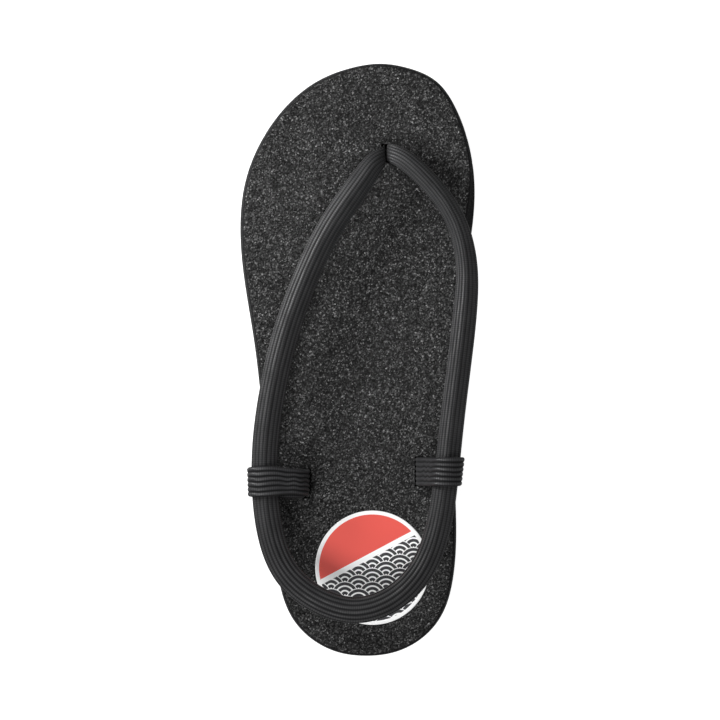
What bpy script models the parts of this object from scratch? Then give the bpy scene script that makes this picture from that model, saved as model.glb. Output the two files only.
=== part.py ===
"""A left waraji sandal: moulded foam sole, one elastic cord as its strap, two tape keepers, a heel badge.

Metres, +Z up, +Y to the toe and +X to the big-toe side. The origin is on the ground at mid length.
"""

import math

import bmesh
import bpy
import numpy as np
from mathutils import Matrix, Vector

MM = 0.001

# Driving sizes
LENGTH = 260 * MM
BALL_WIDTH = 102.4 * MM
CLEARANCE = 0.3 * MM  # between pieces that touch

# Sole outline from heel to toe. Station is a share of LENGTH, the half widths on the little-toe side
# and on the big-toe side are shares of BALL_WIDTH.
HEEL_TIP = 0.018
TOE_TIP = 0.085
OUTLINE = (
    # station, little toe, big toe
    (0.0054, 0.088, 0.142),
    (0.0242, 0.192, 0.247),
    (0.0615, 0.287, 0.340),
    (0.135, 0.352, 0.401),
    (0.269, 0.389, 0.410),
    (0.412, 0.420, 0.402),
    (0.538, 0.457, 0.417),
    (0.646, 0.500, 0.451),
    (0.738, 0.513, 0.486),
    (0.808, 0.488, 0.490),
    (0.869, 0.425, 0.464),
    (0.927, 0.320, 0.409),
    (0.970, 0.186, 0.329),
    (0.993, 0.038, 0.205),
)

# Heights of the underside and of the footbed on the middle line.
PROFILE = (
    # station, underside, footbed (millimetres)
    (0.00, 1.2, 20.0),
    (0.07, 0.0, 20.0),
    (0.27, 0.0, 20.0),
    (0.50, 0.0, 17.2),
    (0.70, 0.0, 14.4),
    (0.80, 0.0, 14.0),
    (0.88, 1.2, 14.8),
    (0.95, 3.6, 16.8),
    (1.00, 6.0, 18.8),
)

# The footbed rises to the big-toe side at the arch, and round the edge of the heel.
ARCH_STATION = 0.50
ARCH_REACH = 0.26
ARCH_RISE = 2.0 * MM
ARCH_SPAN = 0.42 * BALL_WIDTH
CUP_RISE = 1.6 * MM
CUP_FROM = 0.64  # share of the way from the middle to the edge
CUP_FADE = (0.22, 0.36)  # stations

# Side wall. The big-toe side of the forefoot flares out toward the ground.
TOP_INSET = 1.0 * MM
FLARE = 2.6 * MM
FLARE_STATION = 0.69
FLARE_REACH = 0.17
FLARE_SPAN = 0.30 * BALL_WIDTH
OUTLINE_POINTS = 88
OUTLINE_FINE = 40  # steps between two rows while the outline is drawn
WALL = (
    # share of the height, share of TOP_INSET, share of FLARE, own inset
    (1.000, 1.0, 1.0, 1.4 * MM),
    (0.972, 1.0, 1.0, 0.4 * MM),
    (0.880, 0.9, 0.92, 0.0 * MM),
    (0.500, 0.4, 0.45, 0.0 * MM),
    (0.140, 0.0, 0.0, 0.0 * MM),
    (0.030, 0.0, 0.0, 0.6 * MM),
    (0.000, 0.0, 0.0, 1.8 * MM),
)
TOP_RINGS = (0.24, 0.44, 0.62, 0.76, 0.88, 0.96)
BOTTOM_RINGS = (0.7, 0.3)
SPINE = (0.16, 0.79)  # stations of the middle line that the rings close on
SPINE_X = 2.0 * MM

# Tread: cross grooves under the heel and the ball.
GROOVE_WIDTH = 3.0 * MM
GROOVE_DEPTH = 1.8 * MM
GROOVE_PITCH = 0.046  # of LENGTH
GROOVE_UNDER = 4.0 * MM  # how far the cutter reaches under the ground
GROOVE_RUNS = ((0.070, 5), (0.560, 8))  # first station, how many

# Toe slit and the cord's tab in it.
SLIT = Vector((11.3 * MM, 90.6 * MM))
SLIT_ALONG = Vector((-0.040, -0.999))
SLIT_LENGTH = 7.9 * MM
SLIT_WIDTH = 4.4 * MM
SLIT_DEPTH = 9.6 * MM
SLIT_OVER = 8.0 * MM  # how far a slit's cutter stands over the footbed

# The cord, once round from its fold in the toe slit. Rise is the height of its middle over the
# footbed; side is the way across as one looks to the toe, thick the way up.
CORD_SIDES = 16
CORD_STEP = 4.4 * MM
PINCH_RISE = (4.0 * MM, 9.2 * MM)  # between these rises the cord turns from along the slit to level
RIDGE = (1.15, 1.7)  # powers of the section's width and height where it runs lengthwise: 2 and 2 is round
RIDGE_LEAN = 0.16  # how far the ridge leans to the little-toe side, as a share of the height
ROUTE = (
    # x, y, rise, side, thick (millimetres)
    (11.3, 90.6, -8.5, 7.1, 1.5),
    (10.2, 90.6, -7.5, 7.1, 1.5),
    (10.2, 90.6, -6.2, 7.1, 1.5),
    (10.25, 90.6, -3.0, 7.1, 1.5),
    (10.3, 90.5, 0.6, 7.1, 1.5),
    (10.1, 90.1, 2.9, 7.2, 1.8),
    (9.2, 89.1, 5.0, 7.7, 2.9),
    (7.3, 87.1, 7.0, 9.0, 5.6),
    (3.4, 82.1, 8.8, 10.3, 7.8),
    (-12.7, 58.4, 10.4, 11.4, 8.2),
    (-24.3, 34.2, 10.9, 11.4, 8.2),
    (-32.7, 10.1, 11.2, 11.6, 8.2),
    (-38.2, -14.0, 11.6, 11.6, 8.2),
    (-41.3, -38.0, 12.1, 11.5, 8.2),
    (-41.5, -53.4, 12.8, 11.5, 8.2),
    (-39.2, -74.1, 15.0, 11.7, 8.2),
    (-31.6, -93.0, 18.0, 11.8, 8.2),
    (-17.2, -104.7, 19.8, 11.8, 8.2),
    (-2.4, -108.6, 20.4, 11.7, 8.2),
    (13.6, -103.9, 20.6, 11.7, 8.2),
    (26.5, -91.4, 20.4, 11.5, 8.2),
    (33.9, -73.0, 19.8, 11.2, 8.2),
    (37.7, -48.8, 19.0, 10.8, 8.2),
    (40.2, -26.0, 17.8, 10.6, 8.2),
    (43.2, -2.0, 16.4, 10.6, 8.2),
    (45.9, 22.0, 14.6, 10.5, 8.2),
    (46.6, 40.2, 12.8, 9.6, 8.2),
    (41.4, 61.6, 11.2, 9.0, 8.1),
    (31.5, 76.2, 10.0, 8.9, 7.8),
    (22.4, 85.2, 8.8, 8.9, 7.0),
    (16.8, 89.1, 7.2, 8.6, 5.6),
    (13.9, 90.6, 5.2, 7.8, 3.2),
    (12.6, 91.0, 2.9, 7.3, 1.8),
    (12.3, 90.7, 0.6, 7.1, 1.5),
    (12.35, 90.6, -3.0, 7.1, 1.5),
    (12.4, 90.6, -6.2, 7.1, 1.5),
    (12.4, 90.6, -7.5, 7.1, 1.5),
)

# Tape keepers. Out is the way from the slit to the nearer edge of the sole, rise the height over the
# footbed, slide the shift along the cord; the rows go up the inner leg, over the cord and back.
TAPE_WIDTH = 12.5 * MM
TAPE_THICKNESS = 1.4 * MM
TAPE_STEP = 3.0 * MM
TAPE_CORNER = 0.35  # cut off the corners, as a share of the thickness
TAPE_TURN_RISE = 8.0 * MM  # by this rise the tape lies along the cord
TAPE_SLIT_DEPTH = 9.6 * MM
KEEPER_LATERAL = (
    # out, rise, slide, width (millimetres)
    (0.0, -8.6, 0.0, 12.5),
    (-0.9, -7.7, 0.0, 12.5),
    (-0.9, -6.4, 0.0, 12.5),
    (-0.9, 0.0, 0.0, 12.5),
    (-1.0, 5.6, 0.2, 12.2),
    (0.0, 10.9, 0.5, 11.6),
    (3.2, 14.3, 0.8, 11.3),
    (8.0, 15.8, 0.9, 11.6),
    (13.0, 17.3, 0.9, 12.8),
    (18.2, 18.0, 0.6, 13.4),
    (23.0, 16.6, 0.2, 13.2),
    (24.7, 12.8, 0.0, 12.6),
    (23.0, 9.1, -0.1, 12.5),
    (18.0, 7.7, -0.3, 12.5),
    (12.8, 7.4, -0.5, 12.5),
    (7.0, 6.0, -0.5, 12.5),
    (2.6, 3.4, -0.3, 12.5),
    (0.9, 0.0, 0.0, 12.5),
    (0.9, -6.4, 0.0, 12.5),
    (0.9, -7.7, 0.0, 12.5),
)
KEEPER_MEDIAL = (
    # out, rise, slide, width (millimetres)
    (0.0, -8.6, 0.0, 12.5),
    (-0.9, -7.7, 0.0, 12.5),
    (-0.9, -6.4, 0.0, 12.5),
    (-0.9, 0.0, 0.0, 12.5),
    (0.3, 5.6, 0.0, 12.5),
    (3.5, 14.6, 0.0, 12.5),
    (6.0, 21.4, 0.0, 12.5),
    (8.4, 24.3, 0.0, 12.5),
    (11.8, 25.0, 0.0, 12.6),
    (16.4, 23.3, 0.0, 12.6),
    (18.3, 19.2, 0.0, 12.5),
    (16.5, 15.0, 0.0, 12.5),
    (11.2, 10.6, 0.0, 12.5),
    (5.4, 6.8, 0.0, 12.5),
    (1.6, 2.9, 0.0, 12.5),
    (0.9, -0.6, 0.0, 12.5),
    (0.9, -3.2, 0.0, 12.5),
    (0.9, -6.4, 0.0, 12.5),
    (0.9, -7.7, 0.0, 12.5),
)
KEEPERS = (
    # name, x and y of the slit, way out along x, turn in degrees, rows
    ("keeper_lateral", -23.7 * MM, -53.9 * MM, -1, -1.8, KEEPER_LATERAL),
    ("keeper_medial", 25.9 * MM, -48.7 * MM, 1, 0.8, KEEPER_MEDIAL),
)

# Heel badge in its seat.
BADGE_MIDDLE = Vector((5.4 * MM, -90.8 * MM))
BADGE_RADIUS = 25.0 * MM
BADGE_THICKNESS = 0.65 * MM
SEAT_DEPTH = 0.7 * MM

# Colours as linear values, with roughness.
FOAM = ((0.022, 0.022, 0.024), 0.85)
CORD_BLACK = ((0.012, 0.012, 0.015), 0.6)
TAPE_BLACK = ((0.010, 0.010, 0.012), 0.65)
BADGE_WHITE = ((0.80, 0.80, 0.80), 0.3)


def clear_scene():
    for obj in list(bpy.data.objects):
        bpy.data.objects.remove(obj, do_unlink=True)


def new_collection(name):
    collection = bpy.data.collections.new(name)
    bpy.context.scene.collection.children.link(collection)
    return collection


def material(name, look):
    colour, roughness = look
    made = bpy.data.materials.new(name)
    made.use_nodes = True
    shader = made.node_tree.nodes["Principled BSDF"]
    shader.inputs["Base Color"].default_value = (*colour, 1.0)
    shader.inputs["Roughness"].default_value = roughness
    return made


def add_object(name, mesh, collection):
    obj = bpy.data.objects.new(name, mesh)
    collection.objects.link(obj)
    return obj


def smooth(value):
    """Smooth step from 0 at 0 to 1 at 1."""
    value = np.clip(value, 0.0, 1.0)
    return value * value * (3 - 2 * value)


def bell(value):
    """1 at 0, falling smoothly to 0 at 1 and beyond on both sides."""
    return 1 - smooth(np.abs(value))


def closed_spline(points, axes, share_out):
    """Periodic cubic spline through the points, whose first `axes` columns set the chord lengths.

    share_out takes the chords and gives how many steps each has.
    """
    points = np.asarray(points, float)
    count = len(points)
    ahead = np.roll(points, -1, axis=0)
    chords = np.linalg.norm((ahead - points)[:, :axes], axis=1)
    before = np.roll(chords, 1)
    slopes = (ahead - points) / chords[:, None]
    rows = np.arange(count)
    system = np.zeros((count, count))
    system[rows, rows] = 2 * (before + chords)
    system[rows, (rows + 1) % count] = chords
    system[rows, rows - 1] = before
    bends = np.linalg.solve(system, 6 * (slopes - np.roll(slopes, 1, axis=0)))
    steps = share_out(chords)
    row = np.repeat(rows, steps)
    ramp = np.concatenate([np.arange(step) / step for step in steps])[:, None]
    chord = chords[row][:, None]
    start, end = points[row], ahead[row]
    bend_start, bend_end = bends[row], np.roll(bends, -1, axis=0)[row]
    sag = (1 - ramp) ** 3 - (1 - ramp)
    sag_end = ramp**3 - ramp
    straight = start * (1 - ramp) + end * ramp
    return straight + chord**2 / 6 * (sag * bend_start + sag_end * bend_end)


def by_length(step):
    """At least two steps a chord, and enough to keep each near the given length."""
    return lambda chords: np.maximum(2, np.ceil(chords / step)).astype(int)


def even_points(curve, count):
    """The closed curve read at even arc steps."""
    closed = np.vstack([curve, curve[:1]])
    run = np.concatenate([[0], np.cumsum(np.linalg.norm(np.diff(closed, axis=0), axis=1))])
    at = np.linspace(0, run[-1], count, endpoint=False)
    return np.column_stack([np.interp(at, run, closed[:, axis]) for axis in (0, 1)])


def outline():
    """The sole seen from above, from the heel's tip round by the big-toe side."""
    rows = np.array(OUTLINE)
    along = (rows[:, 0] - 0.5) * LENGTH
    big_toe = np.column_stack([rows[:, 2] * BALL_WIDTH, along])
    little_toe = np.column_stack([-rows[:, 1] * BALL_WIDTH, along])
    heel = (HEEL_TIP * BALL_WIDTH, -LENGTH / 2)
    toe = (TOE_TIP * BALL_WIDTH, LENGTH / 2)
    points = [heel, *big_toe, toe, *little_toe[::-1]]
    curve = closed_spline(points, 2, lambda chords: np.full(len(chords), OUTLINE_FINE))
    return even_points(curve, OUTLINE_POINTS)


def profile(y, column):
    """A column of PROFILE at y, blended smoothly between its rows and level between equal ones."""
    rows = np.array(PROFILE) * (1.0, MM, MM)
    station = np.asarray(y, float) / LENGTH + 0.5
    slopes = np.gradient(rows[:, column], rows[:, 0])
    flat = np.diff(rows[:, column]) == 0
    slopes[:-1][flat] = 0
    slopes[1:][flat] = 0
    row = np.clip(np.searchsorted(rows[:, 0], station, side="right") - 1, 0, len(rows) - 2)
    gap = rows[row + 1, 0] - rows[row, 0]
    ramp = np.clip((station - rows[row, 0]) / gap, 0, 1)
    rest = 1 - ramp
    here = rows[row, column] * (1 + 2 * ramp) * rest**2
    there = rows[row + 1, column] * (3 - 2 * ramp) * ramp**2
    return here + there + gap * (slopes[row] * ramp * rest**2 - slopes[row + 1] * rest * ramp**2)


def underside(y):
    return profile(y, 1)


def footbed(y):
    """Top of the foam on the middle line."""
    return profile(y, 2)


def footbed_over(x, y, out):
    """Top of the foam anywhere: out is the share of the way from the middle line to the edge."""
    station = np.asarray(y) / LENGTH + 0.5
    arch = bell((station - ARCH_STATION) / ARCH_REACH) * smooth(x / ARCH_SPAN)
    fade = 1 - smooth((station - CUP_FADE[0]) / (CUP_FADE[1] - CUP_FADE[0]))
    cup = smooth((out - CUP_FROM) / (1 - CUP_FROM)) * fade
    return footbed(y) + ARCH_RISE * arch + CUP_RISE * cup


def inward(curve):
    """Unit normals of the outline, pointing in."""
    along = np.roll(curve, -1, axis=0) - np.roll(curve, 1, axis=0)
    along /= np.linalg.norm(along, axis=1)[:, None]
    return np.column_stack([-along[:, 1], along[:, 0]])


def sole_rings():
    """The sole as closed rings of points from the middle of the footbed out, down and in again."""
    edge = outline()
    normals = inward(edge)
    station = edge[:, 1] / LENGTH + 0.5
    flare = FLARE * bell((station - FLARE_STATION) / FLARE_REACH) * smooth(edge[:, 0] / FLARE_SPAN)

    def inset(top_share, flare_share, own):
        return edge + normals * (TOP_INSET * top_share + flare * flare_share + own)[:, None]

    spine = np.column_stack([
        np.full(len(edge), SPINE_X),
        (SPINE[0] + (SPINE[1] - SPINE[0]) * station - 0.5) * LENGTH,
    ])
    top_edge = inset(*WALL[0][1:])
    bottom_edge = inset(*WALL[-1][1:])
    rings = []
    for out in TOP_RINGS:
        flat = spine + (top_edge - spine) * out
        rings.append(np.column_stack([flat, footbed_over(flat[:, 0], flat[:, 1], out)]))
    for height, top_share, flare_share, own in WALL:
        flat = inset(top_share, flare_share, own)
        low = underside(flat[:, 1])
        high = footbed_over(flat[:, 0], flat[:, 1], 1.0)
        rings.append(np.column_stack([flat, low + (high - low) * height]))
    for out in BOTTOM_RINGS:
        flat = spine + (bottom_edge - spine) * out
        rings.append(np.column_stack([flat, underside(flat[:, 1])]))
    return rings


def sole_mesh():
    """Rings joined by quads; the first and last close across the middle line like a ladder."""
    rings = sole_rings()
    count = OUTLINE_POINTS
    built = bmesh.new()
    loops = [[built.verts.new(point) for point in ring] for ring in rings]
    for inner, outer in zip(loops, loops[1:]):
        for a in range(count):
            b = (a + 1) % count
            built.faces.new((inner[a], outer[a], outer[b], inner[b]))
    for loop in (loops[0], loops[-1]):
        for a in range(count // 2):
            corners = (loop[a], loop[a + 1], loop[-a - 1], loop[-a])
            built.faces.new(list(dict.fromkeys(corners)))
    bmesh.ops.recalc_face_normals(built, faces=built.faces)
    bmesh.ops.triangulate(built, faces=built.faces)
    mesh = bpy.data.meshes.new("sole")
    built.to_mesh(mesh)
    built.free()
    return mesh


def box_cutter(name, size, middle, turn, collection):
    """A box cutter about middle, turned about Z."""
    bpy.ops.mesh.primitive_cube_add(size=1.0, location=middle, rotation=(0, 0, turn))
    cutter = bpy.context.object
    cutter.name = name
    cutter.scale = size
    bpy.ops.object.transform_apply(location=False, rotation=False, scale=True)
    return claim_cutter(cutter, collection)


def claim_cutter(cutter, collection):
    for owner in list(cutter.users_collection):
        owner.objects.unlink(cutter)
    collection.objects.link(cutter)
    cutter.hide_render = True
    cutter.display_type = "WIRE"
    return cutter


def cut(target, cutter):
    boolean = target.modifiers.new(cutter.name, "BOOLEAN")
    boolean.operation = "DIFFERENCE"
    boolean.solver = "EXACT"
    boolean.object = cutter


def sunk_box(name, middle, size_xy, depth, turn, collection):
    """Cutter for a slit: a box from over the footbed down to the given depth under it."""
    level = float(footbed(middle[1]))
    size = (size_xy[0], size_xy[1], depth + SLIT_OVER)
    place = (middle[0], middle[1], level + (SLIT_OVER - depth) / 2)
    return box_cutter(name, size, place, turn, collection)


def tread_cutter(cutters):
    """All the cross grooves as one cutter, each reaching from under the ground into the foam."""
    built = bmesh.new()
    for first, count in GROOVE_RUNS:
        for groove in range(count):
            y = (first + GROOVE_PITCH * groove - 0.5) * LENGTH
            top = float(underside(y)) + GROOVE_DEPTH
            height = top + GROOVE_UNDER
            size = Matrix.Diagonal((1.2 * BALL_WIDTH, GROOVE_WIDTH, height, 1.0))
            place = Matrix.Translation((0, y, top - height / 2))
            bmesh.ops.create_cube(built, size=1.0, matrix=place @ size)
    mesh = bpy.data.meshes.new("tread")
    built.to_mesh(mesh)
    built.free()
    return claim_cutter(add_object("tread", mesh, cutters), cutters)


def make_sole(parts, cutters):
    sole = add_object("sole", sole_mesh(), parts)
    sole.data.materials.append(material("foam", FOAM))
    cut(sole, tread_cutter(cutters))
    slit_turn = math.atan2(SLIT_ALONG.y, SLIT_ALONG.x)
    cut(sole, sunk_box("toe_slit", SLIT, (SLIT_LENGTH, SLIT_WIDTH), SLIT_DEPTH, slit_turn, cutters))
    for name, x, y, _, turn, _ in KEEPERS:
        size = (2 * TAPE_THICKNESS + 4 * CLEARANCE, TAPE_WIDTH + 2 * CLEARANCE)
        cut(sole, sunk_box(f"{name}_slit", (x, y), size, TAPE_SLIT_DEPTH, math.radians(turn), cutters))
    level = float(footbed(BADGE_MIDDLE.y))
    bpy.ops.mesh.primitive_cylinder_add(
        vertices=64,
        radius=BADGE_RADIUS + CLEARANCE,
        depth=2 * SEAT_DEPTH,
        location=(*BADGE_MIDDLE, level),
    )
    seat = bpy.context.object
    seat.name = "badge_seat"
    cut(sole, claim_cutter(seat, cutters))
    shade(sole)
    return sole


def shade(obj):
    obj.data.shade_smooth()
    obj.data.set_sharp_from_angle(angle=math.radians(40))


def ring_mesh(name, stations, wide, section):
    """A closed band: each station's section is laid across it and joined to the next.

    wide has the direction of the section's first axis.
    """
    along = run_along(stations)
    side = wide - along * np.sum(wide * along, axis=1)[:, None]
    side /= np.linalg.norm(side, axis=1)[:, None]
    thick = np.cross(along, side)
    across = side[:, None] * section[:, :, :1]
    upright = thick[:, None] * section[:, :, 1:]
    points = stations[:, None, :3] + across + upright
    count, sides = points.shape[:2]
    built = bmesh.new()
    loops = [[built.verts.new(point) for point in loop] for loop in points]
    for a in range(count):
        b = (a + 1) % count
        for c in range(sides):
            d = (c + 1) % sides
            built.faces.new((loops[a][c], loops[a][d], loops[b][d], loops[b][c]))
    bmesh.ops.recalc_face_normals(built, faces=built.faces)
    mesh = bpy.data.meshes.new(name)
    built.to_mesh(mesh)
    built.free()
    return mesh


def cord_section(stations, along, sides):
    """The cord's section at each station, as shares of its side and thickness: even arc steps round the
    curve |x|^p + |y|^q = 1, blended from round where the cord crosses the heel to ridged where it runs
    lengthwise."""
    turns = np.linspace(0, 2 * math.pi, 1441)
    round_way = np.column_stack([np.cos(turns), np.sin(turns)])
    ridged = np.sign(round_way) * np.abs(round_way) ** (2 / np.array(RIDGE))
    run = np.concatenate([[0], np.cumsum(np.linalg.norm(np.diff(ridged, axis=0), axis=1))])
    at = np.arange(sides) / sides
    ridged = np.column_stack([np.interp(at * run[-1], run, ridged[:, axis]) for axis in (0, 1)])
    round_way = np.column_stack([np.cos(2 * math.pi * at), np.sin(2 * math.pi * at)])
    share = along[:, 1, None, None] ** 2 * smooth(stations[:, 5] / PINCH_RISE[1])[:, None, None]
    section = 0.5 * (round_way + (ridged - round_way) * share)
    section[:, :, 0] += RIDGE_LEAN * along[:, 1:2] * share[:, :, 0] * section[:, :, 1]
    return section


def tape_section():
    """A flat rectangle with its corners cut off, as shares of the width and the thickness."""
    near = 0.5 - TAPE_CORNER * TAPE_THICKNESS / TAPE_WIDTH
    low = 0.5 - TAPE_CORNER
    quarter = [(0.5, low), (near, 0.5)]
    half = quarter + [(-x, y) for x, y in reversed(quarter)]
    return np.array(half + [(-x, -y) for x, y in half])


def strap_stations():
    """The cord's stations: x, y, z, side and thick, then the rise they were set by."""
    rows = np.array(ROUTE) * MM
    rise = rows[:, 2].copy()
    rows[:, 2] += footbed(rows[:, 1])
    return closed_spline(np.column_stack([rows, rise]), 3, by_length(CORD_STEP))


def run_along(stations):
    """Unit direction of travel at each station of a closed ring."""
    along = np.roll(stations[:, :3], -1, axis=0) - np.roll(stations[:, :3], 1, axis=0)
    return along / np.linalg.norm(along, axis=1)[:, None]


def make_strap(parts):
    stations = strap_stations()
    along = run_along(stations)
    level = np.column_stack([-along[:, 1], along[:, 0], np.zeros(len(along))])
    level /= np.linalg.norm(level, axis=1)[:, None] + 1e-9
    low, high = PINCH_RISE
    pinch = smooth((high - stations[:, 5]) / (high - low))[:, None]
    wide = (1 - pinch) * level + pinch * np.array([*SLIT_ALONG, 0.0])
    section = cord_section(stations, along, CORD_SIDES) * stations[:, None, 3:5]
    mesh = ring_mesh("strap", stations, wide, section)
    strap = add_object("strap", mesh, parts)
    strap.data.materials.append(material("cord", CORD_BLACK))
    strap.data.shade_smooth()
    return strap


def make_keeper(name, x, y, way, turn, rows, look, parts):
    """A tape folded round the cord: its width lies along the slit below and along the cord above."""
    rows = np.array(rows) * MM
    turn = math.radians(turn)
    out = way * np.array([math.cos(turn), math.sin(turn)])
    path = np.column_stack([rows[:, :1] * out, rows[:, 1:]])
    stations = closed_spline(path, 3, by_length(TAPE_STEP))
    cord = strap_stations()
    place = np.array([x, y]) + 0.5 * out * rows[:, 0].max()
    nearest = np.argmin(np.linalg.norm(cord[:, :2] - place, axis=1))
    cord_along = run_along(cord)[nearest] * way
    slit_along = np.array([-math.sin(turn), math.cos(turn), 0.0])
    over = smooth(stations[:, 2:3] / TAPE_TURN_RISE)
    wide = (1 - over) * slit_along + over * cord_along
    size = np.column_stack([stations[:, 4], np.full(len(stations), TAPE_THICKNESS)])
    stations[:, :3] += wide * stations[:, 3:4]
    mesh = ring_mesh(name, stations, wide, tape_section() * size[:, None])
    keeper = add_object(name, mesh, parts)
    keeper.location = (x, y, float(footbed(y)))
    keeper.data.materials.append(look)
    shade(keeper)
    return keeper


def make_badge(parts):
    bottom = float(footbed(BADGE_MIDDLE.y)) - SEAT_DEPTH + CLEARANCE
    bpy.ops.mesh.primitive_cylinder_add(
        vertices=64,
        radius=BADGE_RADIUS,
        depth=BADGE_THICKNESS,
        location=(*BADGE_MIDDLE, bottom + BADGE_THICKNESS / 2),
    )
    badge = bpy.context.object
    badge.name = "heel_badge"
    for owner in list(badge.users_collection):
        owner.objects.unlink(badge)
    parts.objects.link(badge)
    badge.data.materials.append(material("printed film", BADGE_WHITE))
    return badge


def main():
    clear_scene()
    parts = new_collection("waraji_sandal")
    cutters = new_collection("cutters")
    make_sole(parts, cutters)
    make_strap(parts)
    tape = material("tape", TAPE_BLACK)
    for name, x, y, way, turn, rows in KEEPERS:
        make_keeper(name, x, y, way, turn, rows, tape, parts)
    make_badge(parts)


main()
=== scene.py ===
"""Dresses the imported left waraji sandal: flecked foam sole, ribbed elastic cord, ribbed tape keepers and a
printed heel badge, on a pale floor seen from above.

Everything is in metres in the frame of the solids: +Z up, +Y to the toe, +X to the big-toe side.
"""

import functools
import math

import bpy
import mathutils
import numpy as np
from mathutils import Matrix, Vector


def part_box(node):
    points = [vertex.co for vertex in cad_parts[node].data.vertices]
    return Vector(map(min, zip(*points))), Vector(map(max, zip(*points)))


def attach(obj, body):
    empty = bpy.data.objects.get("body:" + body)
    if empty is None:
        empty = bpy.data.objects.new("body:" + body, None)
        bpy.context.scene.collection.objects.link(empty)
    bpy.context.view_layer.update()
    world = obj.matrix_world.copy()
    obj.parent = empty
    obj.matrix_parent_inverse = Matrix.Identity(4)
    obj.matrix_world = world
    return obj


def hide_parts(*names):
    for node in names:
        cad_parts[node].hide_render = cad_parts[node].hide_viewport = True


bl_info = {
    "name": "Waraji Sandal",
    "version": (1, 0, 0),
    "blender": (4, 5, 0),
    "location": "View3D > Sidebar > Sandal",
    "description": "Builds the finished surfaces of a waraji sandal round its solids",
    "category": "Add Mesh",
}

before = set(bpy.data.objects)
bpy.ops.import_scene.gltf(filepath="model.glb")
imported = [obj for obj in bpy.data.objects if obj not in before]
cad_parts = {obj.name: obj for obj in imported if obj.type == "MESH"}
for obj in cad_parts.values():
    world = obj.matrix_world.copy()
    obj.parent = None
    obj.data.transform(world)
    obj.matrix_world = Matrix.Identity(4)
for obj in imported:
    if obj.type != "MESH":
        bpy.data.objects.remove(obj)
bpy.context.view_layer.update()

MM = 0.001
LENGTH = 260 * MM
BALL_WIDTH = 102.4 * MM
CLEARANCE = 0.3 * MM

# Sole outline from heel to toe. Station is a share of LENGTH, the half widths are shares of BALL_WIDTH.
HEEL_TIP = 0.018
TOE_TIP = 0.085
OUTLINE = (
    # station, little toe, big toe
    (0.0054, 0.088, 0.142),
    (0.0242, 0.192, 0.247),
    (0.0615, 0.287, 0.340),
    (0.135, 0.352, 0.401),
    (0.269, 0.389, 0.410),
    (0.412, 0.420, 0.402),
    (0.538, 0.457, 0.417),
    (0.646, 0.500, 0.451),
    (0.738, 0.513, 0.486),
    (0.808, 0.488, 0.490),
    (0.869, 0.425, 0.464),
    (0.927, 0.320, 0.409),
    (0.970, 0.186, 0.329),
    (0.993, 0.038, 0.205),
)
PROFILE = (
    # station, underside, footbed (millimetres)
    (0.00, 1.2, 20.0),
    (0.07, 0.0, 20.0),
    (0.27, 0.0, 20.0),
    (0.50, 0.0, 17.2),
    (0.70, 0.0, 14.4),
    (0.80, 0.0, 14.0),
    (0.88, 1.2, 14.8),
    (0.95, 3.6, 16.8),
    (1.00, 6.0, 18.8),
)
ARCH_STATION = 0.50
ARCH_REACH = 0.26
ARCH_RISE = 2.0 * MM
ARCH_SPAN = 0.42 * BALL_WIDTH
CUP_RISE = 1.6 * MM
CUP_FROM = 0.64
CUP_FADE = (0.22, 0.36)
TOP_INSET = 1.0 * MM
FLARE = 2.6 * MM
FLARE_STATION = 0.69
FLARE_REACH = 0.17
FLARE_SPAN = 0.30 * BALL_WIDTH
SPINE = (0.16, 0.79)
SPINE_X = 2.0 * MM
EDGE_ROUND = 1.3 * MM
FOOT_ROUND = 1.8 * MM
OUTLINE_POINTS = 480
OUTLINE_FINE = 60  # steps from one row to the next, before they are made even
# The rings of the sole's surface: on the footbed, round its edge, down the wall, round its foot and under it.
TOP_RINGS, EDGE_RINGS, WALL_RINGS, FOOT_RINGS, UNDER_RINGS = 34, 7, 14, 6, 14
WALL_SPAN = (0.90, 0.13)  # shares of the wall's height between its two rounded edges
INNERMOST = 0.08  # share of the way out where the rings end and rungs close the middle
FOAM_CREASE = math.radians(38)

GROOVE_WIDTH = 3.0 * MM
GROOVE_DEPTH = 1.8 * MM
GROOVE_PITCH = 0.046
GROOVE_UNDER = 4.0 * MM
GROOVE_LENGTH = 1.2 * BALL_WIDTH
GROOVE_RUNS = ((0.070, 5), (0.560, 8))

SLIT = (11.3 * MM, 90.6 * MM)
SLIT_ALONG = (-0.040, -0.999)
SLIT_LENGTH = 7.9 * MM
SLIT_WIDTH = 4.4 * MM
SLIT_DEPTH = 9.6 * MM
SLIT_OVER = 8.0 * MM

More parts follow.
